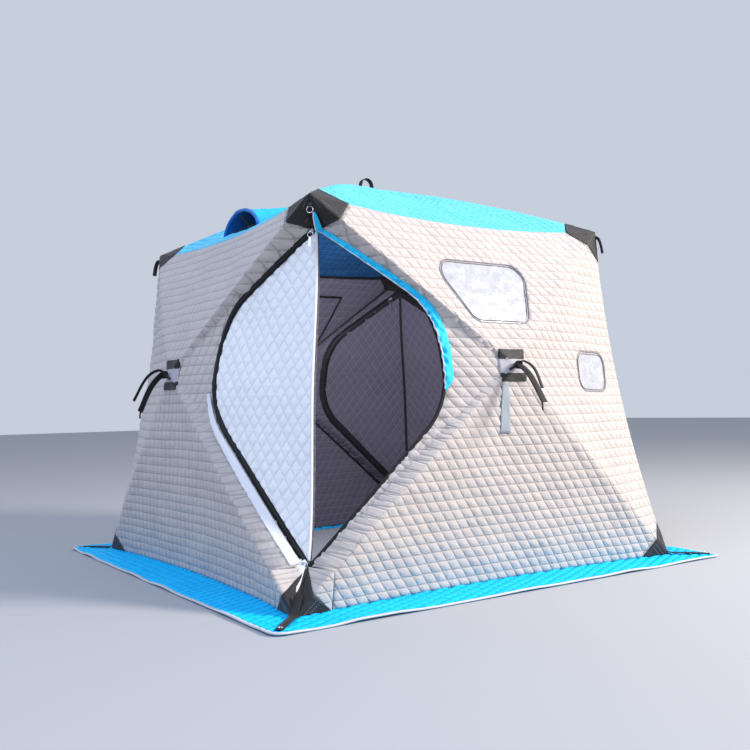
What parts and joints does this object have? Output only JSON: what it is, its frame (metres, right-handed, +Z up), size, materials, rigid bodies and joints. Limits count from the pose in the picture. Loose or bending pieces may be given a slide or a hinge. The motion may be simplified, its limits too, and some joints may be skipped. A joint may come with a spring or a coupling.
{
  "type": "pop-up ice fishing shelter",
  "caption": "Square pop-up shelter of quilted cloth on flexed poles, with a low blue roof, a skirt, corner doors, windows and roof vents; it shelters people on the ice.",
  "frame": {"origin": "centre of the base, at the height of the ice that the skirt lies on", "axes": "+Z up, -Y out of the front wall with the two windows, -X out of the left wall; the half open door is at the corner between those two walls"},
  "size_m": [2.4826, 2.4826, 1.8913],
  "materials": {
    "wall_cloth": "matte",
    "door_cloth": "matte",
    "roof_cloth": "satin",
    "skirt_cloth": "satin",
    "pocket_cloth": "matte",
    "webbing": "matte",
    "zip": "matte",
    "window_film": "gloss",
    "flap_cloth": "satin",
    "hood_cloth": "satin",
    "fibreglass": "satin",
    "nylon": "satin"
  },
  "bodies": {
    "root": {"front_wall_top": "wall_cloth", "front_wall_end": "wall_cloth", "front_wall_foot": "wall_cloth", "front_wall_door_side": "wall_cloth", "back_wall_top": "wall_cloth", "back_wall_end": "wall_cloth", "back_wall_foot": "wall_cloth", "back_wall_door_side": "wall_cloth", "left_wall_top": "wall_cloth", "left_wall_end": "wall_cloth", "left_wall_foot": "wall_cloth", "left_wall_door_side": "wall_cloth", "right_wall_top": "wall_cloth", "right_wall_end": "wall_cloth", "right_wall_foot": "wall_cloth", "right_wall_door_side": "wall_cloth", "front_door": "door_cloth", "back_door": "door_cloth", "front_roof": "roof_cloth", "back_roof": "roof_cloth", "left_roof": "roof_cloth", "right_roof": "roof_cloth", "front_skirt": "skirt_cloth", "back_skirt": "skirt_cloth", "left_skirt": "skirt_cloth", "right_skirt": "skirt_cloth", "top_corner_pockets": "pocket_cloth", "foot_corner_pockets": "pocket_cloth", "hub_patches": "pocket_cloth", "pull_straps": "webbing", "roof_strap_loop": "webbing", "anchor_straps": "webbing", "front_door_zips": "zip", "back_door_zips": "zip", "large_window_films": "window_film", "small_window_films": "window_film", "storm_flaps": "flap_cloth", "roof_vent_hoods": "hood_cloth", "wall_poles": "fibreglass", "roof_poles": "fibreglass", "wall_hubs": "nylon", "roof_hub": "nylon", "top_corner_boots": "nylon", "foot_corner_boots": "nylon"}
  },
  "joints": []
}
